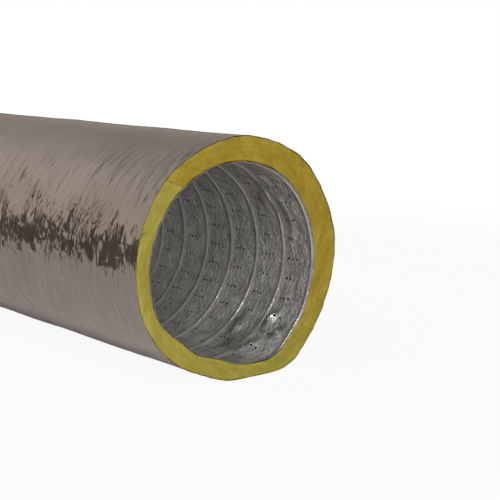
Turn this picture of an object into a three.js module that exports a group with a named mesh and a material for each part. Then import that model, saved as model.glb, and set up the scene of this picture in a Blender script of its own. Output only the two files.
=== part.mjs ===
// One metre of insulated flexible air duct, lying on its side, in millimetres, +Z up.
//
// From the inside out the duct is four pieces:
//   core_liner           a tube of aluminium and polyester laminate, the air passage
//   wire_helix           the spring-steel wire that holds the liner open
//   glass_wool_blanket   a flat blanket wrapped once round the core, its edges meeting in a slanted joint
//   outer_jacket         a sleeve of metallised polyester film, the vapour barrier
//
// The duct runs along Y, its near end at -Y. The origin is on the floor under the middle of the duct.
// The wool is soft, so the underside is pressed flat by the floor and the core sits a little low and to one side.

import * as THREE from "three";

// Driving dimensions
const DUCT_LENGTH = 1000;
const CORE_BORE_DIAMETER = 203;
const LINER_THICKNESS = 0.15;
const WIRE_DIAMETER = 1.2;
const WIRE_PITCH = 45.5;
const WIRE_END_INSET = 1; // from each cut end of the duct to the middle of the wire
const WIRE_START_ANGLE_DEG = -60; // seen from the near end, anticlockwise from +X
const COIL_LEAN = 6; // how far the top of each coil leans towards the near end
const BLANKET_THICKNESS = 22; // nominally 25, drawn down by the jacket
const BLANKET_JOINT_GAP = 1;
const BLANKET_JOINT_ANGLE_DEG = 127; // where the joint meets the bore, anticlockwise from +X
const BLANKET_JOINT_SLANT_DEG = 35; // the joint's turn away from the radius
const JACKET_THICKNESS = 0.15;
const UNDERSIDE_PRESS = 7; // how far the floor presses into the round section
const CORE_SIDE_SHIFT = -7;
const CORE_DROP = 2;
const CLEARANCE = 0.3; // between neighbouring pieces

// How finely the round shapes are cut into flats
const SECTION_SEGMENTS = 96;
const WIRE_STEPS_PER_TURN = 36;
const WIRE_SIDES = 6;

// Radii, each worked out from the piece inside it
const linerInnerRadius = CORE_BORE_DIAMETER / 2;
const linerOuterRadius = linerInnerRadius + LINER_THICKNESS;
const wireRadius = WIRE_DIAMETER / 2;
const coilRadius = (linerOuterRadius + CLEARANCE + wireRadius) / Math.cos(Math.PI / WIRE_STEPS_PER_TURN);
const blanketInnerRadius = coilRadius + wireRadius + CLEARANCE;
const blanketOuterRadius = blanketInnerRadius + BLANKET_THICKNESS;
const jacketInnerRadius = blanketOuterRadius + CLEARANCE;
const jacketOuterRadius = jacketInnerRadius + JACKET_THICKNESS;

// Centres of the two round sections: x across, y up
const jacketCentre = new THREE.Vector2(0, jacketOuterRadius - UNDERSIDE_PRESS);
const coreCentre = new THREE.Vector2(CORE_SIDE_SHIFT, jacketCentre.y - CORE_DROP);

const materials = {
  film: new THREE.MeshStandardMaterial({ color: 0x9a908c, roughness: 0.25, metalness: 1 }),
  wool: new THREE.MeshStandardMaterial({ color: 0xb09a3a, roughness: 0.95, metalness: 0 }),
  laminate: new THREE.MeshStandardMaterial({ color: 0x8c8a88, roughness: 0.4, metalness: 1 }),
  springSteel: new THREE.MeshStandardMaterial({ color: 0x9b9da0, roughness: 0.3, metalness: 1 }),
};

// The angles, right and left, at which a circle round jacketCentre comes down to a height above the floor
function pressAngles(radius, height) {
  const below = Math.asin((jacketCentre.y - height) / radius);
  return { right: -below, left: Math.PI + below };
}

// A circle round jacketCentre, cut off straight at a height above the floor
function pressedCircle(path, radius, height) {
  const { right, left } = pressAngles(radius, height);
  path.absarc(jacketCentre.x, jacketCentre.y, radius, right, left, false);
  path.closePath();
  return path;
}

function coreCircle(path, radius) {
  path.absarc(coreCentre.x, coreCentre.y, radius, 0, 2 * Math.PI, false);
  return path;
}

// A section, x across and y up, carried the whole length of the duct
function alongDuct(name, section, material) {
  const geometry = new THREE.ExtrudeGeometry(section, {
    depth: DUCT_LENGTH,
    steps: 1,
    bevelEnabled: false,
    curveSegments: SECTION_SEGMENTS / 2, // three.js cuts an arc into twice this many
  });
  geometry.rotateX(Math.PI / 2).translate(0, DUCT_LENGTH / 2, 0);
  const mesh = new THREE.Mesh(geometry, material);
  mesh.name = name;
  return mesh;
}

function coreLiner() {
  const section = coreCircle(new THREE.Shape(), linerOuterRadius);
  section.holes.push(coreCircle(new THREE.Path(), linerInnerRadius));
  return alongDuct("core_liner", section, materials.laminate);
}

// The wire winds anticlockwise as it goes from the near end to the far end, its coils leaning slightly.
class LeaningHelix extends THREE.Curve {
  constructor() {
    super();
    this.start = WIRE_END_INSET - DUCT_LENGTH / 2;
    this.span = DUCT_LENGTH - 2 * WIRE_END_INSET;
    this.turns = this.span / WIRE_PITCH;
    this.startAngle = THREE.MathUtils.degToRad(WIRE_START_ANGLE_DEG);
  }

  angle(t) {
    return this.startAngle + 2 * Math.PI * this.turns * t;
  }

  lean(t) {
    return COIL_LEAN * Math.sin(this.angle(t));
  }

  getPoint(t, target = new THREE.Vector3()) {
    const lean = this.lean(t) - THREE.MathUtils.lerp(this.lean(0), this.lean(1), t); // none at either end
    return target.set(
      coreCentre.x + coilRadius * Math.cos(this.angle(t)),
      this.start + this.span * t - lean,
      coreCentre.y + coilRadius * Math.sin(this.angle(t)),
    );
  }

  // Steps are equal in angle, not in length, so every chord stands the same distance off the liner.
  getUtoTmapping(u) {
    return u;
  }
}

function wireHelix() {
  const path = new LeaningHelix();
  const section = new THREE.Shape().absarc(0, 0, wireRadius, 0, 2 * Math.PI, false);
  const geometry = new THREE.ExtrudeGeometry(section, {
    extrudePath: path,
    steps: Math.round(path.turns * WIRE_STEPS_PER_TURN),
    curveSegments: WIRE_SIDES / 2,
  });
  const mesh = new THREE.Mesh(geometry, materials.springSteel);
  mesh.name = "wire_helix";
  return mesh;
}

// Where a line from a point on the bore, in a direction, leaves the blanket's round outside
function angleOnBlanketOutside(from, direction) {
  const start = from.clone().sub(jacketCentre);
  const along = start.dot(direction);
  const reach = Math.sqrt(along ** 2 - start.lengthSq() + blanketOuterRadius ** 2) - along;
  return start.addScaledVector(direction, reach).angle();
}

// One C-shaped outline: round the outside from the joint, in along the joint, and back round the bore
function glassWoolBlanket() {
  const jointAngle = THREE.MathUtils.degToRad(BLANKET_JOINT_ANGLE_DEG);
  const slant = THREE.MathUtils.degToRad(BLANKET_JOINT_SLANT_DEG);
  const jointDirection = new THREE.Vector2(Math.cos(jointAngle + slant), Math.sin(jointAngle + slant));
  const halfGap = BLANKET_JOINT_GAP / (2 * Math.cos(slant) * blanketInnerRadius);
  const [boreRight, boreLeft] = [jointAngle - halfGap, jointAngle + halfGap];
  const [outsideRight, outsideLeft] = [boreRight, boreLeft].map((angle) => {
    const onBore = new THREE.Vector2(Math.cos(angle), Math.sin(angle))
      .multiplyScalar(blanketInnerRadius)
      .add(coreCentre);
    return angleOnBlanketOutside(onBore, jointDirection);
  });
  const press = pressAngles(blanketOuterRadius, JACKET_THICKNESS + CLEARANCE);
  const outline = new THREE.Shape();
  outline.absarc(jacketCentre.x, jacketCentre.y, blanketOuterRadius, outsideLeft, press.left, false);
  outline.absarc(jacketCentre.x, jacketCentre.y, blanketOuterRadius, press.right, outsideRight, false);
  outline.absarc(coreCentre.x, coreCentre.y, blanketInnerRadius, boreRight, boreLeft, true);
  outline.closePath();
  return alongDuct("glass_wool_blanket", outline, materials.wool);
}

function outerJacket() {
  const section = pressedCircle(new THREE.Shape(), jacketOuterRadius, 0);
  section.holes.push(pressedCircle(new THREE.Path(), jacketInnerRadius, JACKET_THICKNESS));
  return alongDuct("outer_jacket", section, materials.film);
}

const duct = new THREE.Group();
duct.name = "insulated_flexible_duct";
duct.add(coreLiner(), wireHelix(), glassWoolBlanket(), outerJacket());

export default duct;
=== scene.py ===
# One metre of insulated flexible air duct, cut square at both ends and lying on the floor.
#
# It is put together from the inside out: the core liner, the wire wound round it, the glass wool wrapped
# over both, and the film sleeve drawn over the wool. Lengths are in metres. Angles go round the duct
# anticlockwise as seen from its near end, from the side that points along +X.

from itertools import product

import bpy
import numpy as np
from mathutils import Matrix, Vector


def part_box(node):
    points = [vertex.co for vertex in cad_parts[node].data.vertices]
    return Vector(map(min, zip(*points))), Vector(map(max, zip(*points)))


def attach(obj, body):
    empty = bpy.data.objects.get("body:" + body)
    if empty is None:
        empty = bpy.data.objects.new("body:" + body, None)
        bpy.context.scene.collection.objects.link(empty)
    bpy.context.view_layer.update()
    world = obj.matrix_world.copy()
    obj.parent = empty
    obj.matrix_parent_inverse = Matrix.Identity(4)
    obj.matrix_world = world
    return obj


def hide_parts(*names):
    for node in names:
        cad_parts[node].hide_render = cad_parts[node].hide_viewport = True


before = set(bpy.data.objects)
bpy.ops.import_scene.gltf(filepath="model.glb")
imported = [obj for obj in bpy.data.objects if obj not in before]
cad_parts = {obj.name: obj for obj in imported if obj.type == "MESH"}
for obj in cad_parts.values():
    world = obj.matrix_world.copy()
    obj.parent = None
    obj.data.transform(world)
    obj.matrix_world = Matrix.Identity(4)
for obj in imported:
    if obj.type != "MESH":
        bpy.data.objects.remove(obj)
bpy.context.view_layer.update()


# ---- Core liner ---------------------------------------------------------------------------------------
# The air passage, wound from an overlapping strip of aluminium and polyester laminate with the wire glued in
# the overlap. It is pierced with rows of three needle holes, so that the wool behind can deaden the noise.
# Between the coils it is slack and creased, and its cut lip is free to be pushed about by the wool.

MM = 0.001

liner_low, liner_high = (np.array(corner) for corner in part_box("core_liner"))
wire_low, wire_high = (np.array(corner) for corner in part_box("wire_helix"))
CORE_X, _, CORE_Z = (liner_low + liner_high) / 2
NEAR_Y = liner_low[1]
FAR_Y = liner_high[1]

WIRE_DIAMETER = 1.2 * MM
WIRE_PITCH = 45.5 * MM
WIRE_END_INSET = 1 * MM
WIRE_START = np.radians(-60)
COIL_LEAN = 6 * MM  # how far the top of each coil leans towards the near end
COIL_RADIUS = (wire_high[0] - wire_low[0]) / 2 - WIRE_DIAMETER / 2
COIL_SPAN = FAR_Y - NEAR_Y - 2 * WIRE_END_INSET
COIL_TURNS = COIL_SPAN / WIRE_PITCH
COIL_RISE = (
    COIL_SPAN + COIL_LEAN * (np.sin(WIRE_START + 2 * np.pi * COIL_TURNS) - np.sin(WIRE_START))
) / COIL_TURNS

LINER_THICKNESS = 0.15 * MM
LINER_GAP = 0.1 * MM  # between the liner and the wire
LINER_RADIUS_AT_WIRE = COIL_RADIUS - WIRE_DIAMETER / 2 - LINER_THICKNESS - LINER_GAP
RIDGE_HEIGHT = 1.5 * MM
RIDGE_HALF_WIDTH = 1.2 * MM
LINER_TAUT_WIDTH = 7 * MM  # the creases fade out this near to the wire
CRINKLE_HEIGHT = 0.6 * MM
CRINKLE_SIZE = 16 * MM
LIP_CREASE_HEIGHT = 1.0 * MM
LIP_CREASE_REACH = 38 * MM
LIP_REACH = 34 * MM  # the first coil holds the liner round from here inwards
HOLES_ROUND = 30  # groups of needle holes in each turn, 12 degrees apart
HOLE_SPACING = 6 * MM
HOLE_GROUP_MIDDLE = 30 * MM  # from the coil nearer the near end
HOLE_RADII = (1.25 * MM, 1.6 * MM)
HOLE_CELL = 4 * MM
HOLE_MARGIN = 4 * MM  # no hole stands nearer to a cut end
HOLE_WANDER = (0.06, 0.1)  # how far a hole stands off its face's middle, as shares of the face
HOLES_MISSED = 0.08  # share of the holes that the needles missed
CUT_RAGGEDNESS = 0.5 * MM
LINER_STRETCH_WIDTH = 1.9 * MM  # the foil is smooth this far from the wire
FULL_STRETCH_HEIGHT = 1.4 * MM  # and on any fold as high as this

# The liner's mesh has a column of points every so many degrees of the coil's turning: finest near the mouth.
LINER_COLUMNS = np.concatenate(
    [np.arange(-450, 1440, 2), np.arange(1440, 6840, 6), np.arange(6840, 8013, 3)]
)
MIDDLE_STEP = 6
NEAR_SEAM = (1080, 1440)  # the fine strip whose further edge meets the first coarse strip
FAR_SEAM = (6840, 7200)  # the fine strip whose nearer edge meets the last coarse strip

# Dents and swellings of the lip: (height, middle in degrees, width in degrees)
NEAR_LIP = (
    (-7.5 * MM, 226, 14),
    (-9.5 * MM, 254, 17),
    (7.5 * MM, 297, 13),
    (2.8 * MM, 322, 14),
    (1.2 * MM, 52, 20),
)
FAR_LIP = ((-3.5 * MM, 205, 20), (3 * MM, 60, 16), (-3 * MM, 305, 18), (1.5 * MM, 130, 15))
LINER_FOLD_WIDTH = 3.6 * MM


def gradient_noise(points, seed):
    """Smooth random heights, about -1 to 1, at an array of points. Each corner of a whole-number lattice
    has a random slope; the slopes' heights are blended across the cell with 6t^5 - 15t^4 + 10t^3."""
    slopes = np.random.default_rng(seed).normal(size=(32, 32, 32, 3))
    slopes /= np.linalg.norm(slopes, axis=-1, keepdims=True)
    cell = np.floor(points).astype(int)
    part = points - cell
    fade = part**3 * (part * (6 * part - 15) + 10)
    height = np.zeros(points.shape[:-1])
    for corner in product((0, 1), repeat=3):
        index = (cell + corner) % 32
        slope = slopes[index[..., 0], index[..., 1], index[..., 2]]
        weight = np.prod(np.where(corner, fade, 1 - fade), axis=-1)
        height += weight * np.sum(slope * (part - corner), axis=-1)
    return 1.6 * height


def facets(points, seed, border):
    """A crumpled sheet: flat cells, each round one random point in a cell of a whole-number lattice and
    with a random slope and height. The nearest cell's plane meets the second nearest's across a border
    that is narrow beside the cells, so sharp creases run between them."""
    luck = np.random.default_rng(seed)
    centres = luck.random((32, 32, 32, 3))
    slopes = luck.uniform(-1, 1, (32, 32, 32, 4))
    cell = np.floor(points).astype(int)
    nearest = np.full(points.shape[:-1], 9.0)
    second = nearest.copy()
    height = np.zeros_like(nearest)
    second_height = height.copy()
    for step in product((-1, 0, 1), repeat=3):
        x, y, z = np.moveaxis((cell + step) % 32, -1, 0)
        away = points - (cell + step + centres[x, y, z])
        distance = np.linalg.norm(away, axis=-1)
        plane = np.sum(away * slopes[x, y, z, :3], axis=-1) + 0.7 * slopes[x, y, z, 3]
        second_height = np.where(distance < second, plane, second_height)
        second_height = np.where(distance < nearest, height, second_height)
        second = np.minimum(second, np.maximum(nearest, distance))
        height = np.where(distance < nearest, plane, height)
        nearest = np.minimum(nearest, distance)
    blend = 0.5 - 0.5 * smooth_step((second - nearest) / border)
    return height + blend * (second_height - height)


def bells(angle, shapes):
    """Sum of dents and swellings round the duct: each is its height times exp(-(a / width)^2), where a is
    the shortest angle to its middle."""
    total = np.zeros_like(angle)
    for height, middle, width in shapes:
        turn = (np.degrees(angle) - middle + 180) % 360 - 180
        total += height * np.exp(-((turn / width) ** 2))
    return total


def smooth_step(share):
    """0 below 0, 1 above 1, and 3t^2 - 2t^3 between."""
    share = np.clip(share, 0, 1)
    return share * share * (3 - 2 * share)


def lip_push(angle, along):
    """How far the core stands out from its circle near the cut ends: the lip's bells, faded out inwards."""
    near = 1 - smooth_step((along - NEAR_Y) / LIP_REACH)
    far = 1 - smooth_step((FAR_Y - along) / LIP_REACH)
    return near * bells(angle, NEAR_LIP) + far * bells(angle, FAR_LIP)


def coil_along(turned):
    """Place along the duct of the wire, after it has turned by an angle from its start: a steady rise, less
    the lean, which follows the sine of the angle."""
    angle = WIRE_START + turned
    steady = NEAR_Y + WIRE_END_INSET + COIL_RISE * turned / (2 * np.pi)
    return steady - COIL_LEAN * (np.sin(angle) - np.sin(WIRE_START))


def round_core(angle, along, radius):
    """Points at a radius from the middle line of the core."""
    return np.stack([CORE_X + radius * np.cos(angle), along, CORE_Z + radius * np.sin(angle)], axis=-1)


def liner_radius(angle, along, from_wire):
    """Inside radius of the liner: least over the wire, rising on each side as
    1 - exp(-(distance / width)^2), with slack creases between the coils, and deeper ones on the free lip."""
    distance = np.abs(from_wire)
    ridge = RIDGE_HEIGHT * (1 - np.exp(-((distance / RIDGE_HALF_WIDTH) ** 2)))
    slack = 1 - np.exp(-((distance / LINER_TAUT_WIDTH) ** 2))
    place = round_core(angle, along, COIL_RADIUS)
    crinkle = gradient_noise(place / CRINKLE_SIZE, 1)
    crinkle = crinkle + 0.5 * gradient_noise(place / (0.45 * CRINKLE_SIZE), 2)
    depth = np.minimum(along - NEAR_Y, FAR_Y - along)
    crease = facets(place / np.array([17 * MM, 12 * MM, 17 * MM]), 3, 0.35)
    free = 0.3 + np.exp(-((depth / LIP_CREASE_REACH) ** 2))
    height = ridge + slack * (CRINKLE_HEIGHT * crinkle + free * LIP_CREASE_HEIGHT * (crease - 0.3))
    height = height - sharp_folds(angle, along, LINER_FOLDS, LINER_FOLD_WIDTH)
    return LINER_RADIUS_AT_WIRE + height + lip_push(angle, along)


def scattered_folds(seed, count, middle, spread, starts, heights, lengths, drifts):
    """Random sharp folds on one side of the duct. Their middles lie up to the spread, in degrees, from an
    angle, and the rest is even between two limits: distance from the near end, height, half length in
    degrees, and drift along the duct for each degree."""
    luck = np.random.default_rng(seed)
    turn = middle + spread * luck.uniform(-1, 1, count)
    rest = [luck.uniform(*limits, count) for limits in (heights, starts, lengths, drifts)]
    return np.stack(rest + [turn], axis=1)


# The foil is slackest where the near lip swells out, low on one side, and less so high on that side. The
# last folds stand where the far lip swells out.
DUCT_LENGTH = FAR_Y - NEAR_Y
FAR_FOLD_STARTS = (DUCT_LENGTH - 70 * MM, DUCT_LENGTH - 18 * MM)
LOW_FOLDS = scattered_folds(31, 8, 305, 14, (16 * MM, 85 * MM), (3 * MM, 5 * MM), (4, 8), (-0.9 * MM, 0))
HIGH_FOLDS = scattered_folds(
    32, 5, 40, 25, (18 * MM, 70 * MM), (1.5 * MM, 3 * MM), (8, 10), (0.2 * MM, 0.5 * MM)
)
FAR_FOLDS = scattered_folds(33, 5, 60, 20, FAR_FOLD_STARTS, (1.5 * MM, 3 * MM), (5, 9), (0, 0.5 * MM))
LINER_FOLDS = np.concatenate([LOW_FOLDS, HIGH_FOLDS, FAR_FOLDS])


def sharp_folds(angle, along, folds, width):
    """Height of single sharp folds: each is its height times exp(-(across / width)^2) times
    exp(-(turn / half length)^2)."""
    total = np.zeros_like(angle)
    for height, start, length, drift, middle in folds:
        turn = (np.degrees(angle) - middle + 180) % 360 - 180
        across = along - NEAR_Y - start - drift * turn
        total += height * np.exp(-((across / width) ** 2) - (turn / length) ** 2)
    return total


def cut_line(angle, edge, seed, raggedness):
    """Place along the duct of a hand-cut edge: the square cut, wandering by the raggedness."""
    ring = np.stack([np.cos(angle), np.sin(angle), np.full_like(angle, seed)], axis=-1)
    return edge + raggedness * (gradient_noise(4 * ring, seed) + 0.4 * gradient_noise(15 * ring, seed + 1))


def welded(points, triangles):
    """Makes points that lie together one, and drops triangles that this leaves with no area. Gives which
    points are kept, and the triangles between them."""
    places = np.round(points / (0.001 * MM)).astype(np.int64)
    _, kept, same = np.unique(places, axis=0, return_index=True, return_inverse=True)
    triangles = same.reshape(-1)[triangles]
    a, b, c = triangles.T
    return kept, triangles[(a != b) & (b != c) & (c != a)]


def grid_faces(lines, places):
    """Four-sided faces between the points of a grid, which are numbered place by place along each line."""
    start = (np.arange(lines - 1)[:, None] * places + np.arange(places - 1)).reshape(-1)
    return np.stack([start, start + places, start + places + 1, start + 1], axis=1)


def halves(quads):
    """Each four-sided face as two triangles."""
    return np.concatenate([quads[:, [0, 1, 2]], quads[:, [0, 2, 3]]])


def with_walls(points, triangles, step):
    """A sheet made solid: a copy of it, moved by the step at each point and turned over, and walls along its
    open edges."""
    count = len(points)
    edges = np.concatenate([triangles[:, [0, 1]], triangles[:, [1, 2]], triangles[:, [2, 0]]])
    _, first, uses = np.unique(np.sort(edges, axis=1), axis=0, return_index=True, return_counts=True)
    start, end = edges[first[uses == 1]].T
    walls = np.concatenate(
        [np.stack([end, start, start + count], axis=1), np.stack([end, start + count, end + count], axis=1)]
    )
    triangles = np.concatenate([triangles, triangles[:, ::-1] + count, walls])
    return np.concatenate([points, points + step]), triangles


def new_piece(name, points, faces, material, node, corner_angle=50):
    """A mesh object that stands for a CAD node, shaded smooth except across sharp corners."""
    mesh = bpy.data.meshes.new(name)
    mesh.from_pydata(points.tolist(), [], faces if isinstance(faces, list) else faces.tolist())
    mesh.shade_smooth()
    mesh.set_sharp_from_angle(angle=np.radians(corner_angle))
    mesh.materials.append(material)
    piece = bpy.data.objects.new(name, mesh)
    bpy.context.collection.objects.link(piece)
    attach(piece, "root")
    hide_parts(node)
    return piece


def linear(hex_colour):
    """The linear colour, with alpha 1, of an sRGB hex value."""
    shares = np.array([int(hex_colour[i : i + 2], 16) / 255 for i in (1, 3, 5)])
    values = np.where(shares <= 0.04045, shares / 12.92, ((shares + 0.055) / 1.055) ** 2.4)
    return (*values, 1.0)


def add(tree, kind, inputs=None, **settings):
    """Adds a shader node with its settings. Each input gets a value, or a link from another node."""
    node = tree.nodes.new("ShaderNode" + kind)
    for name, value in settings.items():
        setattr(node, name, value)
    for name, value in (inputs or {}).items():
        if isinstance(value, bpy.types.NodeSocket):
            tree.links.new(value, node.inputs[name])
        else:
            node.inputs[name].default_value = value
    return node


def new_material(name):
    """A material with nothing in it but its output, and its node tree."""
    material = bpy.data.materials.new(name)
    material.use_nodes = True
    material.node_tree.nodes.clear()
    return material, material.node_tree


def colour_steps(tree, factor, *steps):
    """A colour ramp through (place, hex colour) steps."""
    ramp = add(tree, "ValToRGB", {"Fac": factor})
    while len(ramp.color_ramp.elements) < len(steps):
        ramp.color_ramp.elements.new(0.5)
    for element, (place, colour) in zip(ramp.color_ramp.elements, steps):
        element.position = place
        element.color = linear(colour)
    return ramp.outputs["Color"]


def laminate_material():
    """Soft-tempered aluminium foil on polyester. Handling has covered it in creases a few millimetres
    across, so fine that it looks half matt, but it is stretched smooth over the wire and glints there."""
    material, tree = new_material("aluminium_polyester_laminate")
    place = add(tree, "TexCoord").outputs["Object"]
    stretch = add(tree, "Attribute", attribute_name="stretch").outputs["Fac"]
    mottle = add(tree, "TexNoise", {"Vector": place, "Scale": 90, "Detail": 5, "Roughness": 0.7})
    creases = add(tree, "TexVoronoi", {"Vector": place, "Scale": 150}, feature="DISTANCE_TO_EDGE")
    grain = add(tree, "TexNoise", {"Vector": place, "Scale": 260, "Detail": 3, "Roughness": 0.6})
    heights = add(tree, "Math", {0: creases.outputs["Distance"], 1: grain.outputs["Fac"]}, operation="ADD")
    strength = add(tree, "MapRange", {"Value": stretch, "To Min": 1.0, "To Max": 0.1})
    bump = add(
        tree,
        "Bump",
        {"Height": heights.outputs[0], "Strength": strength.outputs["Result"], "Distance": 1.6 * MM},
    )
    colour = colour_steps(
        tree, mottle.outputs["Fac"], (0.3, "#8f8d8a"), (0.5, "#b2b0ac"), (0.65, "#c6c4c0"), (0.8, "#dfdedb")
    )
    colour = add(
        tree, "Mix", {"Factor": stretch, "A": colour, "B": linear("#d8d7d5")}, data_type="RGBA"
    ).outputs["Result"]
    metal = add(tree, "MapRange", {"Value": stretch, "To Min": 0.5, "To Max": 0.92})
    roughness = add(tree, "MapRange", {"Value": stretch, "To Min": 0.5, "To Max": 0.26})
    shader = add(
        tree,
        "BsdfPrincipled",
        {
            "Base Color": colour,
            "Metallic": metal.outputs["Result"],
            "Roughness": roughness.outputs["Result"],
            "Normal": bump.outputs["Normal"],
        },
    )
    add(tree, "OutputMaterial", {"Surface": shader.outputs[0]})
    return material


def liner_rows():
    """Distances from the coil, over one strip, at which the liner's mesh has a row: close together over the
    wire, and one square for each needle hole."""
    holes = [HOLE_GROUP_MIDDLE + step * HOLE_SPACING for step in (-1, 0, 1)]
    hole_sides = [middle + side * HOLE_CELL / 2 for middle in holes for side in (-1, 1)]
    near_wire = [0, 0.6 * MM, 1.3 * MM, 2.4 * MM, 6 * MM, 11 * MM, 16 * MM, 19.3 * MM]
    next_wire = [WIRE_PITCH - step for step in (2.2 * MM, 1.3 * MM, 0.6 * MM, 0)]
    return np.array(near_wire + hole_sides + next_wire), len(near_wire) + np.arange(0, len(hole_sides), 2)


rows, hole_rows = liner_rows()
degrees, from_coil = np.meshgrid(LINER_COLUMNS, rows, indexing="ij")
for (start, end), row in ((NEAR_SEAM, -1), (FAR_SEAM, 0)):
    seam = (degrees[:, row] > start) & (degrees[:, row] < end)
    degrees[seam, row] -= degrees[seam, row] % MIDDLE_STEP
turned = np.radians(degrees)
angle = WIRE_START + turned
along = coil_along(turned) + from_coil * COIL_RISE / WIRE_PITCH
near_cut = cut_line(angle, NEAR_Y, 11, CUT_RAGGEDNESS)
far_cut = cut_line(angle, FAR_Y, 13, CUT_RAGGEDNESS)
whole_cell = along[:-1, :-1] > near_cut[:-1, :-1] + HOLE_MARGIN
whole_cell &= along[1:, 1:] < far_cut[1:, 1:] - HOLE_MARGIN
along = np.clip(along, near_cut, far_cut)
from_wire = WIRE_PITCH * (((along - coil_along(turned)) / COIL_RISE + 0.5) % 1 - 0.5)
liner_points = round_core(angle, along, liner_radius(angle, along, from_wire))

# The faces that are pierced are those in the hole rows, once in every 12 degrees, but for the missed ones.
column_count, row_count = angle.shape
quads = grid_faces(column_count, row_count)
cell_column, cell_row = np.divmod(np.arange(len(quads)), row_count - 1)
luck = np.random.default_rng(21)
pierced = (LINER_COLUMNS[cell_column] % (360 // HOLES_ROUND) == MIDDLE_STEP) & np.isin(cell_row, hole_rows)
pierced &= whole_cell.reshape(-1)
pierced &= luck.random(len(quads)) > HOLES_MISSED
plain = quads[~pierced]
corners = liner_points.reshape(-1, 3)[quads[pierced]]  # in the order 0, +column, +both, +row
hole_count = len(corners)

# Each hole is six-sided, somewhere near the middle of its face, and joined to the face's corners.
cell_width = np.radians(np.diff(LINER_COLUMNS)[cell_column[pierced], None]) * COIL_RADIUS
middle = 0.5 + luck.uniform(-1, 1, (hole_count, 1, 2)) * HOLE_WANDER
radius = luck.uniform(*HOLE_RADII, (hole_count, 1))
spoke = np.radians(60) * np.arange(6)
across = middle[..., 0] + radius * np.cos(spoke) / cell_width
up = middle[..., 1] + radius * np.sin(spoke) / HOLE_CELL
weights = np.stack([(1 - across) * (1 - up), across * (1 - up), across * up, (1 - across) * up], axis=-1)
hole_points = np.einsum("hsc,hcx->hsx", weights, corners)
on_sides = [(1, 2, 4), (2, 3, 5), (3, 0, 7), (0, 1, 8)]
on_hole = [(2, 5, 4), (3, 6, 5), (3, 7, 6), (0, 8, 7), (1, 9, 8), (1, 4, 9)]
ring = np.array(on_sides + on_hole)
around_hole = np.concatenate(
    [quads[pierced], angle.size + np.arange(6 * hole_count).reshape(-1, 6)], axis=1
)
triangles = np.concatenate([halves(plain), around_hole[:, ring].reshape(-1, 3)])
points = np.concatenate([liner_points.reshape(-1, 3), hole_points.reshape(-1, 3)])
stretch = np.exp(-((from_wire / LINER_STRETCH_WIDTH) ** 2))
stretch += sharp_folds(angle, along, LINER_FOLDS, LINER_FOLD_WIDTH) / FULL_STRETCH_HEIGHT
stretch = np.clip(stretch, 0, 1).reshape(-1)
stretch = np.concatenate([stretch, np.zeros(6 * hole_count)])
kept, triangles = welded(points, triangles)
points, stretch = points[kept], stretch[kept]
outwards = points - [CORE_X, 0, CORE_Z]
outwards[:, 1] = 0
outwards *= LINER_THICKNESS / np.linalg.norm(outwards, axis=1, keepdims=True)
points, triangles = with_walls(points, triangles, outwards)
liner = new_piece("core_liner_foil", points, triangles, laminate_material(), "core_liner")
attribute = liner.data.attributes.new("stretch", "FLOAT", "POINT")
attribute.data.foreach_set("value", np.tile(stretch, 2).astype(np.float32))


# ---- Wire helix ---------------------------------------------------------------------------------------
# Hard-drawn spring steel wire with a thin zinc coat, wound on a mandrel with the liner's strips. It is one
# piece from end to end, cut off square with the duct, and it is what keeps the bore round.

WIRE_STEPS = 96
WIRE_SIDES = 8


def galvanised_wire_material():
    """Zinc-coated spring steel: bright grey, with a coat that varies a little in tone."""
    material, tree = new_material("galvanised_spring_steel")
    place = add(tree, "TexCoord").outputs["Object"]
    tone = add(tree, "TexNoise", {"Vector": place, "Scale": 300, "Detail": 2})
    colour = colour_steps(tree, tone.outputs["Fac"], (0.3, "#9a9c9e"), (0.7, "#b9bbbc"))
    shader = add(tree, "BsdfPrincipled", {"Base Color": colour, "Metallic": 1.0, "Roughness": 0.3})
    add(tree, "OutputMaterial", {"Surface": shader.outputs[0]})
    return material


turned = np.linspace(0, 2 * np.pi * COIL_TURNS, int(WIRE_STEPS * COIL_TURNS))[:, None]
round_wire = np.arange(WIRE_SIDES) * 2 * np.pi / WIRE_SIDES
angle = WIRE_START + turned + 0 * round_wire
wire_middle = coil_along(turned)
radius = COIL_RADIUS + lip_push(angle, wire_middle + 0 * angle) + WIRE_DIAMETER / 2 * np.cos(round_wire)
points = round_core(angle, wire_middle + WIRE_DIAMETER / 2 * np.sin(round_wire), radius).reshape(-1, 3)
rings = len(turned)
start = np.arange(rings - 1)[:, None] * WIRE_SIDES
side = np.arange(WIRE_SIDES)
next_side = (side + 1) % WIRE_SIDES
quads = np.stack(
    [start + side, start + next_side, start + WIRE_SIDES + next_side, start + WIRE_SIDES + side], axis=-1
).reshape(-1, 4)
ends = [side[::-1].tolist(), ((rings - 1) * WIRE_SIDES + side).tolist()]
new_piece("wire_coil", points, quads.tolist() + ends, galvanised_wire_material(), "wire_helix")


# ---- Glass wool blanket -------------------------------------------------------------------------------
# A flat blanket of yellow glass wool, 25 mm thick before the sleeve draws it down, wrapped once round the
# core. Its edges butt together in one slanted joint along the top left. The ends are cut with a knife, so
# the face shows the wool's layers as streaks that run round the duct.

jacket_low, jacket_high = (np.array(corner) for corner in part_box("outer_jacket"))
SLEEVE_X = (jacket_low[0] + jacket_high[0]) / 2
SLEEVE_RADIUS = (jacket_high[0] - jacket_low[0]) / 2
SLEEVE_Z = jacket_high[2] - SLEEVE_RADIUS
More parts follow.
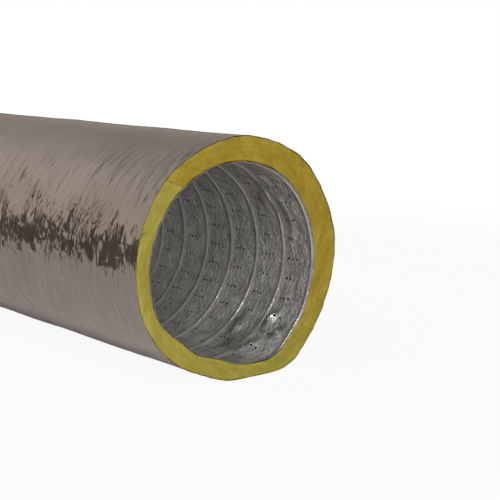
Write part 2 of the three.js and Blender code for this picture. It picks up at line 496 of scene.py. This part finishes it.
# Dents and swellings of the section: (height, middle in degrees, width in degrees)
SLEEVE_SHAPE = (
    (2.2 * MM, 52, 11),
    (-0.9 * MM, 108, 12),
    (0.9 * MM, 136, 9),
    (-8.2 * MM, 250, 26),
    (4.2 * MM, 301, 11),
    (-1.8 * MM, 338, 16),
)
SLEEVE_WANDER = 0.7 * MM
SLEEVE_END_LUMPS = 0.8 * MM
SLEEVE_END_REACH = 14 * MM  # how far in the lumps at the cut ends go
FLOOR_CORNER = 0.9 * MM  # how softly the round section meets the flat underside
FLOOR_CLEAR = 0.3 * MM

WOOL_BORE_GAPS = (0.5 * MM, 3 * MM)  # at the cut ends, and further in, where the wool bridges the coils
WOOL_BRIDGE_REACH = 15 * MM  # from a cut end to where it bridges them fully
WOOL_END_GAP = 0.3 * MM  # under the sleeve at the cut ends
WOOL_SLEEVE_GAP = 1.4 * MM  # under the sleeve's wrinkles
WOOL_END_REACH = 5 * MM  # from a cut end to the full gap
WOOL_EDGE_ROUNDING = 1.6 * MM
WOOL_JOINT_ROUNDING = 0.5 * MM
WOOL_UNEVENNESS = 0.6 * MM
WOOL_COLUMNS = 640
WOOL_LAYERS = 19
JOINT_AT_BORE = np.radians(127)  # about the core's middle line
JOINT_AT_SLEEVE = np.radians(135.8)  # about the sleeve's middle line
JOINT_GAP = 0.1 * MM

FIBRES_PER_END = 1200
FIBRE_WIDTH = 0.13 * MM  # real ones are less than a tenth of this, too fine to show
FIBRE_LENGTHS = (4 * MM, 15 * MM)
FIBRE_RINGS = 6


def sleeve_radius(angle, along):
    """Radius of the sleeve: a circle with its dents and swellings and a slow wander along the duct, cut off
    level by the floor. It is the smaller of the two radii, blended smoothly where they meet."""
    ring = np.stack([1.5 * np.cos(angle), along / (90 * MM), 1.5 * np.sin(angle)], axis=-1)
    depth = np.minimum(along - NEAR_Y, FAR_Y - along)
    lumps = SLEEVE_END_LUMPS * np.exp(-((depth / SLEEVE_END_REACH) ** 2)) * gradient_noise(9 * ring, 32)
    free = SLEEVE_RADIUS + bells(angle, SLEEVE_SHAPE) + SLEEVE_WANDER * gradient_noise(ring, 31) + lumps
    floor = (SLEEVE_Z - FLOOR_CLEAR) / np.maximum(-np.sin(angle), 0.2)
    return floor - FLOOR_CORNER * np.logaddexp(0, (floor - free) / FLOOR_CORNER)


def round_sleeve(angle, along, radius):
    """Points at a radius from the middle line of the sleeve."""
    return np.stack([SLEEVE_X + radius * np.cos(angle), along, SLEEVE_Z + radius * np.sin(angle)], axis=-1)


def rounding(distance, size):
    """Drop of a rounded edge at a distance from it: a quarter circle of that size, then nothing."""
    rest = size - np.clip(distance, 0, size)
    return size - np.sqrt(size**2 - rest**2)


def wool_points(round_share, layer, along_share):
    """Points of the blanket. round_share goes once round from the joint, layer from the bore to the sleeve,
    and along_share from the near end to the far end. The cut ends are rounded at their edges and uneven."""
    half_gap = JOINT_GAP / 2 / COIL_RADIUS
    bore_angle = JOINT_AT_BORE + half_gap + round_share * 2 * (np.pi - half_gap)
    sleeve_angle = JOINT_AT_SLEEVE + half_gap + round_share * 2 * (np.pi - half_gap)
    round_length = 2 * np.pi * (COIL_RADIUS + SLEEVE_RADIUS) / 2
    thickness = SLEEVE_RADIUS - COIL_RADIUS
    drop = rounding(np.minimum(layer, 1 - layer) * thickness, WOOL_EDGE_ROUNDING)
    drop = drop + rounding(np.minimum(round_share, 1 - round_share) * round_length, WOOL_JOINT_ROUNDING)
    ring = np.stack([np.cos(sleeve_angle), 0.35 * layer + 0 * sleeve_angle, np.sin(sleeve_angle)], axis=-1)
    near_lumps = gradient_noise(5 * ring, 41) + 0.5 * gradient_noise(17 * ring, 42)
    far_lumps = gradient_noise(5 * ring, 43) + 0.5 * gradient_noise(17 * ring, 44)
    near = NEAR_Y + drop + WOOL_UNEVENNESS * near_lumps
    far = FAR_Y - drop + WOOL_UNEVENNESS * far_lumps
    along = near + along_share * (far - near)
    depth = np.minimum(along - NEAR_Y, FAR_Y - along)
    bridge = smooth_step(depth / WOOL_BRIDGE_REACH)
    bore_gap = WOOL_BORE_GAPS[0] + (WOOL_BORE_GAPS[1] - WOOL_BORE_GAPS[0]) * bridge
    bore = COIL_RADIUS + WIRE_DIAMETER / 2 + bore_gap + lip_push(bore_angle, along)
    gap = WOOL_END_GAP + (WOOL_SLEEVE_GAP - WOOL_END_GAP) * smooth_step(depth / WOOL_END_REACH)
    inside = round_core(bore_angle, along, bore)
    outside = round_sleeve(sleeve_angle, along, sleeve_radius(sleeve_angle, along) - gap)
    place = np.stack([round_share * round_length + 0 * along, layer * thickness + 0 * along, along], axis=-1)
    return inside + layer[..., None] * (outside - inside), place


def wool_material():
    """Resin-bonded glass wool: matt, mustard where it is packed tight and lemon where light gets through it,
    with streaks along its layers. Its side towards the bore has painted shade: its colour is made dark
    there, so that the needle holes and the inner edge of the cut ends look dark. The pattern runs in the
    blanket's own places, round, through and along."""
    material, tree = new_material("yellow_glass_wool")
    place = add(tree, "Attribute", attribute_name="blanket_place").outputs["Vector"]
    layers = add(tree, "Mapping", {"Vector": place, "Scale": (45, 900, 45)})
    streak = add(
        tree, "TexNoise", {"Vector": layers.outputs["Vector"], "Scale": 1, "Detail": 5, "Roughness": 0.6}
    )
    clumps = add(tree, "TexNoise", {"Vector": place, "Scale": 55, "Detail": 3, "Roughness": 0.55})
    tufts = add(tree, "TexNoise", {"Vector": place, "Scale": 900, "Detail": 2, "Roughness": 0.6})
    mixed = add(
        tree,
        "Mix",
        {"Factor": 0.45, "A": clumps.outputs["Fac"], "B": streak.outputs["Fac"]},
        data_type="FLOAT",
    ).outputs["Result"]
    loose = colour_steps(tree, mixed, (0.3, "#776e2c"), (0.5, "#867d34"), (0.68, "#978e49"))
    packed = colour_steps(tree, mixed, (0.3, "#74621f"), (0.5, "#867326"), (0.68, "#948336"))
    round_way = add(tree, "SeparateXYZ", {"Vector": place}).outputs["X"]
    tightness = add(
        tree,
        "MapRange",
        {"Value": round_way, "From Min": 0.30, "From Max": 0.46, "To Min": 0.0, "To Max": 1.0},
        interpolation_type="SMOOTHSTEP",
    )
    colour = add(
        tree, "Mix", {"Factor": tightness.outputs["Result"], "A": loose, "B": packed}, data_type="RGBA"
    ).outputs["Result"]
    # Painted shade: within 0.4 mm of the bore the colour is multiplied down to a tenth, so the needle holes
    # and the wool's inner edge look dark
    into = add(tree, "SeparateXYZ", {"Vector": place}).outputs["Y"]
    inside = add(tree, "MapRange", {"Value": into, "From Min": 0.0, "From Max": 0.4 * MM, "To Min": 0.1})
    colour = add(
        tree,
        "Mix",
        {"Factor": 1.0, "A": colour, "B": inside.outputs["Result"]},
        data_type="RGBA",
        blend_type="MULTIPLY",
    ).outputs["Result"]
    heights = add(tree, "Math", {0: streak.outputs["Fac"], 1: tufts.outputs["Fac"]}, operation="ADD")
    bump = add(tree, "Bump", {"Height": heights.outputs[0], "Strength": 0.6, "Distance": 0.8 * MM})
    shader = add(
        tree,
        "BsdfPrincipled",
        {
            "Base Color": colour,
            "Roughness": 0.95,
            "Specular IOR Level": 0.2,
            "Normal": bump.outputs["Normal"],
        },
    )
    add(tree, "OutputMaterial", {"Surface": shader.outputs[0]})
    return material


def wool_fibres(along_share, seed):
    """Loose fibres on a cut end: three-sided tubes along short bows, which run mostly round the duct and
    stand a little off the face. Gives their points, places and triangles."""
    luck = np.random.default_rng(seed)
    count = FIBRES_PER_END
    reach = np.linspace(-1, 1, FIBRE_RINGS)
    length = luck.uniform(*FIBRE_LENGTHS, (count, 1))
    slope = np.radians(luck.normal(0, 22, (count, 1)))
    bow = luck.normal(0, 0.12, (count, 1)) * length
    round_length = 2 * np.pi * (COIL_RADIUS + SLEEVE_RADIUS) / 2
    thickness = SLEEVE_RADIUS - COIL_RADIUS
    round_share = luck.uniform(0.012, 0.988, (count, 1)) + length / 2 * reach * np.cos(slope) / round_length
    outwards = length / 2 * reach * np.sin(slope) + bow * reach**2
    layer = luck.uniform(0, 1, (count, 1)) + outwards / thickness
    layer = np.clip(layer, 0.015, 0.985)
    lift = luck.uniform(-0.1, 0.5, (count, 1)) * MM * (1 - 0.8 * reach**2)
    middle, place = wool_points(round_share, layer, np.full_like(layer, along_share))
    middle[..., 1] += np.where(along_share < 0.5, -lift, lift)
    forwards = np.gradient(middle, axis=1)
    side = np.cross(forwards, [0, 1.0, 0])
    side /= np.linalg.norm(side, axis=-1, keepdims=True)
    corner = np.radians([90, 210, 330])
    offset = side[:, :, None] * np.cos(corner)[:, None] + np.array([0, 1.0, 0]) * np.sin(corner)[:, None]
    points = middle[:, :, None] + FIBRE_WIDTH / 2 * offset
    places = np.repeat(place[:, :, None], 3, axis=2)
    first = 3 * np.arange(FIBRE_RINGS - 1)[:, None]
    here, there = np.array([0, 1, 2]), np.array([1, 2, 0])
    quads = np.stack([first + here, first + there, first + 3 + there, first + 3 + here], axis=-1)
    quads = quads.reshape(-1, 4)
    last = 3 * (FIBRE_RINGS - 1)
    shape = np.concatenate([halves(quads), [(2, 1, 0), (last, last + 1, last + 2)]])
    triangles = 3 * FIBRE_RINGS * np.arange(count)[:, None, None] + shape
    return points.reshape(-1, 3), places.reshape(-1, 3), triangles.reshape(-1, 3)


# The blanket's six faces are grids over its three shares, joined along their shared edges.
edge_steps = np.array([0, 0.25, 0.6, 1.1, 1.7, 2.4]) * MM / (2 * np.pi * SLEEVE_RADIUS)
inner_steps = np.linspace(edge_steps[-1], 1 - edge_steps[-1], WOOL_COLUMNS)[1:-1]
round_steps = np.concatenate([edge_steps, inner_steps, 1 - edge_steps[::-1]])
layer_steps = 0.5 - 0.5 * np.cos(np.linspace(0, np.pi, WOOL_LAYERS))
end_steps = np.array([0, 0.002, 0.005, 0.01, 0.016, 0.023, 0.031, 0.05, 0.15, 0.32])
along_steps = np.concatenate([end_steps, [0.5], 1 - end_steps[::-1]])
faces_of_box = (
    (round_steps, layer_steps, [0.0], True),
    (round_steps, layer_steps, [1.0], False),
    (round_steps, [1.0], along_steps, True),
    (round_steps, [0.0], along_steps, False),
    ([0.0], layer_steps, along_steps, True),
    ([1.0], layer_steps, along_steps, False),
)
points, places, triangles = [], [], []
count = 0
for *steps, turned_over in faces_of_box:
    shares = [share.squeeze() for share in np.meshgrid(*steps, indexing="ij")]
    face_points, face_places = wool_points(*shares)
    face = halves(grid_faces(*shares[0].shape))
    points.append(face_points.reshape(-1, 3))
    places.append(face_places.reshape(-1, 3))
    triangles.append(count + (face[:, ::-1] if turned_over else face))
    count += shares[0].size
points, places = np.concatenate(points), np.concatenate(places)
kept, triangles = welded(points, np.concatenate(triangles))
points, places = points[kept], places[kept]
for along_share, seed in ((0.0, 51), (1.0, 52)):
    more_points, more_places, more_triangles = wool_fibres(along_share, seed)
    triangles = np.concatenate([triangles, more_triangles + len(points)])
    points, places = np.concatenate([points, more_points]), np.concatenate([places, more_places])
blanket = new_piece("glass_wool_wrap", points, triangles, wool_material(), "glass_wool_blanket", 70)
attribute = blanket.data.attributes.new("blanket_place", "FLOAT_VECTOR", "POINT")
attribute.data.foreach_set("vector", places.astype(np.float32).reshape(-1))


# ---- Outer jacket -------------------------------------------------------------------------------------
# The vapour barrier: a sleeve of metallised polyester film drawn over the wool. The film has no stretch, so
# packing and handling have crushed it into shallow wrinkles that run mostly round the duct.

JACKET_COLUMNS = 180
JACKET_STATIONS = 524
JACKET_CLOSE_UP = 0.35  # how much closer the stations are at the near end than on average
JACKET_FILM = 0.2 * MM
JACKET_SHORTFALL = 0.6 * MM  # how far its cut ends stop short of the wool
JACKET_INSIDE = 1.2 * MM  # the plain inside of the sleeve, clear under its wrinkles
FOLD_HEIGHT = 0.8 * MM
CREASE_HEIGHT = 0.6 * MM
FACET_HEIGHT = 1.0 * MM
FINE_FACET_HEIGHT = 0.4 * MM
JACKET_HEIGHT_LIMITS = (-0.9 * MM, 2.2 * MM)
JACKET_END_REACH = 7 * MM  # from a cut end to full wrinkles
JACKET_END_FLARE = 0.25 * MM
# Where the film is slack: (share, middle in degrees, width in degrees)
JACKET_SLACK = ((1.0, 166, 22), (1.0, 18, 22), (0.2, 210, 30), (0.2, 328, 25), (-0.1, 281, 14))
JACKET_TAUT = 0.1  # the share of slack that is left elsewhere
JACKET_FOLD_WIDTH = 2.6 * MM
FOLDS_A_SIDE = 36


# The sharpest folds stand on the upper part of each slack side. Most lean, with the upper end further in.
ALL_ALONG = (30 * MM, DUCT_LENGTH - 30 * MM)
SHARP_HEIGHTS = (0.9 * MM, 1.7 * MM)
LEAN_LEFT = (-1.2 * MM, 0.2 * MM)
LEAN_RIGHT = (-0.2 * MM, 1.2 * MM)
LEFT_FOLDS = scattered_folds(34, FOLDS_A_SIDE, 155, 9, ALL_ALONG, SHARP_HEIGHTS, (4, 9), LEAN_LEFT)
RIGHT_FOLDS = scattered_folds(35, FOLDS_A_SIDE, 27, 9, ALL_ALONG, SHARP_HEIGHTS, (4, 9), LEAN_RIGHT)
JACKET_FOLDS = np.concatenate([LEFT_FOLDS, RIGHT_FOLDS])


def wrinkles(angle, along):
    """Height of the film's wrinkles. All are about three times as long round the duct as along it: soft
    folds, short sharp creases that come in patches, and flat facets with narrow borders."""
    place = round_sleeve(angle, along, SLEEVE_RADIUS)
    fold = gradient_noise(place / np.array([42 * MM, 12 * MM, 42 * MM]), 61)
    crease = 1 - 2 * np.abs(gradient_noise(place / np.array([30 * MM, 8 * MM, 30 * MM]), 62))
    patch = smooth_step(0.5 + 0.9 * gradient_noise(place / (70 * MM), 64))
    facet = facets(place / np.array([26 * MM, 8 * MM, 26 * MM]), 63, 0.22)
    fine_facet = facets(place / np.array([13 * MM, 5 * MM, 13 * MM]), 65, 0.4)
    height = FOLD_HEIGHT * fold + CREASE_HEIGHT * patch * (crease - 0.5)
    return height + (0.4 + 0.6 * patch) * (FACET_HEIGHT * facet + FINE_FACET_HEIGHT * fine_facet)


def jacket_radius(angle, along):
    """Outside radius of the sleeve, wrinkles included. They are deepest on the sides, where the film is
    slack, and shallow along the top, on the flat underside and at the cut ends."""
    depth = np.minimum(along - NEAR_Y, FAR_Y - along)
    free = 0.5 + 0.5 * smooth_step(depth / JACKET_END_REACH)
    slack = JACKET_TAUT + bells(angle, JACKET_SLACK)
    height = slack * wrinkles(angle, along) + sharp_folds(angle, along, JACKET_FOLDS, JACKET_FOLD_WIDTH)
    height = np.clip(free * height, *JACKET_HEIGHT_LIMITS)
    return sleeve_radius(angle, along) + height + JACKET_END_FLARE * (1 - free)


def film_material():
    """Metallised polyester film: a mirror-smooth grey metal with a warm tint, dulled in patches by fine
    handling creases that run round the duct."""
    material, tree = new_material("metallised_polyester_film")
    place = add(tree, "TexCoord").outputs["Object"]
    tint = add(tree, "TexNoise", {"Vector": place, "Scale": 14, "Detail": 3, "Roughness": 0.5})
    colour = colour_steps(tree, tint.outputs["Fac"], (0.35, "#aaa39e"), (0.65, "#b7afaa"))
    long_way = add(tree, "Mapping", {"Vector": place, "Scale": (45, 150, 45)}).outputs["Vector"]
    fine = add(tree, "TexNoise", {"Vector": long_way, "Scale": 1, "Detail": 1, "Roughness": 0.5})
    cracked = add(tree, "Mapping", {"Vector": place, "Scale": (60, 180, 60)}).outputs["Vector"]
    crease = add(tree, "TexVoronoi", {"Vector": cracked, "Scale": 1}, feature="DISTANCE_TO_EDGE")
    heights = add(tree, "Math", {0: fine.outputs["Fac"], 1: crease.outputs["Distance"]}, operation="ADD")
    patch = add(tree, "TexNoise", {"Vector": place, "Scale": 22, "Detail": 2, "Roughness": 0.5})
    depth = add(
        tree,
        "MapRange",
        {"Value": patch.outputs["Fac"], "From Min": 0.46, "From Max": 0.58, "To Min": 0.2},
    )
    slack = add(tree, "Attribute", attribute_name="slack").outputs["Fac"]
    depth = add(tree, "Math", {0: depth.outputs["Result"], 1: slack}, operation="MULTIPLY")
    heights = add(tree, "Math", {0: heights.outputs[0], 1: depth.outputs[0]}, operation="MULTIPLY")
    bump = add(tree, "Bump", {"Height": heights.outputs[0], "Strength": 0.7, "Distance": 2.2 * MM})
    shader = add(
        tree,
        "BsdfPrincipled",
        {"Base Color": colour, "Metallic": 1.0, "Roughness": 0.14, "Normal": bump.outputs["Normal"]},
    )
    add(tree, "OutputMaterial", {"Surface": shader.outputs[0]})
    return material


angle = np.arange(JACKET_COLUMNS) * 2 * np.pi / JACKET_COLUMNS
near_cut = cut_line(angle, NEAR_Y + JACKET_SHORTFALL, 71, CUT_RAGGEDNESS)
far_cut = cut_line(angle, FAR_Y - JACKET_SHORTFALL, 73, CUT_RAGGEDNESS)
share = np.linspace(0, 1, JACKET_STATIONS)[:, None]
share = share * (1 - JACKET_CLOSE_UP) + JACKET_CLOSE_UP * share**2
outer_along = near_cut + share * (far_cut - near_cut)
outer_radius = jacket_radius(angle + 0 * outer_along, outer_along)
inner_share = np.array([1, 0.994, 0.9, 0.5, 0.1, 0.006, 0])[:, None]
inner_along = near_cut + inner_share * (far_cut - near_cut)
inner_radius = sleeve_radius(angle + 0 * inner_along, inner_along) - JACKET_INSIDE
inner_radius[0] = outer_radius[-1] - JACKET_FILM
inner_radius[-1] = outer_radius[0] - JACKET_FILM
along = np.concatenate([outer_along, inner_along, outer_along[:1]])
radius = np.concatenate([outer_radius, inner_radius, outer_radius[:1]])
along = np.concatenate([along, along[:, :1]], axis=1)
radius = np.concatenate([radius, radius[:, :1]], axis=1)
angle = np.append(angle, 2 * np.pi) + 0 * along
points = round_sleeve(angle, along, radius)
points[..., 2] = np.maximum(points[..., 2], 0.05 * MM)
triangles = halves(grid_faces(*along.shape))
kept, triangles = welded(points.reshape(-1, 3), triangles)
sleeve = new_piece("film_sleeve", points.reshape(-1, 3)[kept], triangles, film_material(), "outer_jacket")
slack = np.clip(JACKET_TAUT + bells(angle, JACKET_SLACK), 0, 1).reshape(-1)[kept]
attribute = sleeve.data.attributes.new("slack", "FLOAT", "POINT")
attribute.data.foreach_set("value", slack.astype(np.float32))


# ---- Floor, light and camera --------------------------------------------------------------------------
# A white paper floor that fades out where the studio's own white takes over, three soft lamps, and pale
# panels round the studio with dim gaps under and between them, which the film mirrors.

FLOOR_SIZE = 4.0
FLOOR_FADE = (0.7, 1.3)
FLOOR_GLOW = 0.93  # share of the floor's look to the eye that is plain white


def floor_material():
    """White paper, solid under the duct and clear from a little way out. To the eye it glows, so that
    shadows on it are faint."""
    material, tree = new_material("white_paper")
    place = add(tree, "TexCoord").outputs["Object"]
    distance = add(tree, "VectorMath", {0: place}, operation="LENGTH")
    clear = add(
        tree,
        "MapRange",
        {"Value": distance.outputs["Value"], "From Min": FLOOR_FADE[0], "From Max": FLOOR_FADE[1]},
        interpolation_type="SMOOTHSTEP",
    )
    ray = add(tree, "LightPath").outputs["Is Camera Ray"]
    paper = add(tree, "BsdfDiffuse", {"Color": linear("#ede8e6")})
    glow = add(tree, "Emission", {"Color": (1, 1, 1, 1), "Strength": 1.0})
    share = add(tree, "Math", {0: ray, 1: FLOOR_GLOW}, operation="MULTIPLY")
    seen = add(tree, "MixShader", {0: share.outputs[0], 1: paper.outputs[0], 2: glow.outputs[0]})
    nothing = add(tree, "BsdfTransparent")
    mixed = add(tree, "MixShader", {0: clear.outputs["Result"], 1: seen.outputs[0], 2: nothing.outputs[0]})
    add(tree, "OutputMaterial", {"Surface": mixed.outputs[0]})
    return material


corner = FLOOR_SIZE / 2
mesh = bpy.data.meshes.new("floor")
corners = [(-corner, -corner, 0), (corner, -corner, 0), (corner, corner, 0), (-corner, corner, 0)]
mesh.from_pydata(corners, [], [(0, 1, 2, 3)])
mesh.materials.append(floor_material())
floor = bpy.data.objects.new("floor", mesh)
bpy.context.collection.objects.link(floor)


def grey_steps(tree, factor, *steps):
    """A ramp through (place, value) steps, as a plain number."""
    ramp = add(tree, "ValToRGB", {"Fac": factor})
    while len(ramp.color_ramp.elements) < len(steps):
        ramp.color_ramp.elements.new(0.5)
    for element, (place, value) in zip(ramp.color_ramp.elements, steps):
        element.position = place
        element.color = (value, value, value, 1)
    return ramp.outputs["Color"]


def studio_world():
    """Pale panels above a dim skirting that is low where a panel comes down to the floor and high in the
    gaps between panels; dim floor far out; and white to the eye behind the duct. The skirting's ramp goes
    once round, and holds the sine of its elevation plus 0.2, because a ramp can't go below 0."""
    world = bpy.data.worlds.new("studio")
    bpy.context.scene.world = world
    world.use_nodes = True
    tree = world.node_tree
    tree.nodes.clear()
    direction = add(tree, "TexCoord").outputs["Generated"]
    parts = add(tree, "SeparateXYZ", {"Vector": direction}).outputs
    turn = add(tree, "Math", {0: parts["X"], 1: parts["Y"]}, operation="ARCTAN2")
    turn = add(tree, "MapRange", {"Value": turn.outputs[0], "From Min": -np.pi, "From Max": np.pi})
    skirting = grey_steps(
        tree,
        turn.outputs["Result"],
        (0.0, 0.65),
        (0.10, 0.60),
        (0.18, 0.30),
        (0.22, 0.05),
        (0.29, 0.05),
        (0.305, 0.80),
        (0.345, 0.75),
        (0.375, 0.32),
        (0.455, 0.30),
        (0.475, 0.50),
        (0.49, 0.02),
        (0.535, 0.02),
        (0.55, 0.42),
        (0.58, 0.26),
        (0.67, 0.26),
        (0.70, 0.70),
        (0.76, 0.70),
        (0.80, 0.28),
        (0.88, 0.32),
        (0.94, 0.75),
        (1.0, 0.65),
    )
    above = add(tree, "Math", {0: parts["Z"], 1: skirting}, operation="SUBTRACT")
    bright = add(
        tree,
        "MapRange",
        {"Value": above.outputs[0], "From Min": -0.23, "From Max": -0.17},
        interpolation_type="SMOOTHSTEP",
    )
    height = add(tree, "MapRange", {"Value": parts["Z"], "From Min": 0.0, "From Max": 1.0})
    panel = colour_steps(
        tree,
        height.outputs["Result"],
        (0.0, "#d5c8ba"),
        (0.25, "#cfc3b8"),
        (0.5, "#cdc4be"),
        (0.75, "#7c7976"),
        (1.0, "#686664"),
    )
    share = grey_steps(
        tree,
        turn.outputs["Result"],
        (0.0, 0.18),
        (0.2, 0.3),
        (0.29, 1.0),
        (0.49, 1.0),
        (0.57, 0.55),
        (0.66, 0.55),
        (0.75, 1.0),
        (0.9, 0.25),
    )
    lit = add(tree, "Mix", {"Factor": 1.0, "A": panel, "B": share}, data_type="RGBA", blend_type="MULTIPLY")
    dim = (0.115, 0.097, 0.086, 1)
    colour = add(
        tree,
        "Mix",
        {"Factor": bright.outputs["Result"], "A": dim, "B": lit.outputs["Result"]},
        data_type="RGBA",
    )
    ray = add(tree, "LightPath").outputs["Is Camera Ray"]
    seen = add(
        tree, "Mix", {"Factor": ray, "A": colour.outputs["Result"], "B": (1, 1, 1, 1)}, data_type="RGBA"
    )
    light = add(tree, "Background", {"Color": seen.outputs["Result"], "Strength": 1.0})
    add(tree, "OutputWorld", {"Surface": light.outputs[0]})


def soft_lamp(name, place, aim, size, power, mirrored=True):
    """A square soft lamp at a place, turned to face a point. Shiny surfaces mirror it or not."""
    lamp = bpy.data.lights.new(name, "AREA")
    lamp.shape = "SQUARE"
    lamp.size = size
    lamp.energy = power
    holder = bpy.data.objects.new(name, lamp)
    holder.location = place
    holder.visible_glossy = mirrored
    holder.rotation_euler = (Vector(aim) - Vector(place)).to_track_quat("-Z", "Y").to_euler()
    bpy.context.collection.objects.link(holder)


studio_world()
soft_lamp("fill_lamp", (-0.95, -3.3, 0.5), (0, -0.4, 0.12), 1.2, 104, mirrored=False)
soft_lamp("back_lamp", (-0.6, 3.0, 0.45), (0, 0.4, 0.12), 1.2, 90, mirrored=False)
soft_lamp("key_lamp", (-1.1, -2.1, 1.8), (0, -0.4, 0.12), 0.5, 15)

CAMERA_AZIMUTH = np.radians(38.83)
CAMERA_ELEVATION = np.radians(9.45)
mouth = Vector((SLEEVE_X, NEAR_Y, SLEEVE_Z))
lens = bpy.data.cameras.new("camera")
lens.sensor_width = 36
lens.lens = 90
camera = bpy.data.objects.new("camera", lens)
camera.location = mouth + Vector((-0.7624, -0.96, 0.2172))
towards = Vector(
    (
        np.sin(CAMERA_AZIMUTH) * np.cos(CAMERA_ELEVATION),
        np.cos(CAMERA_AZIMUTH) * np.cos(CAMERA_ELEVATION),
        -np.sin(CAMERA_ELEVATION),
    )
)
camera.rotation_euler = towards.to_track_quat("-Z", "Y").to_euler()
bpy.context.collection.objects.link(camera)
bpy.context.scene.camera = camera
bpy.context.scene.view_settings.view_transform = "Standard"
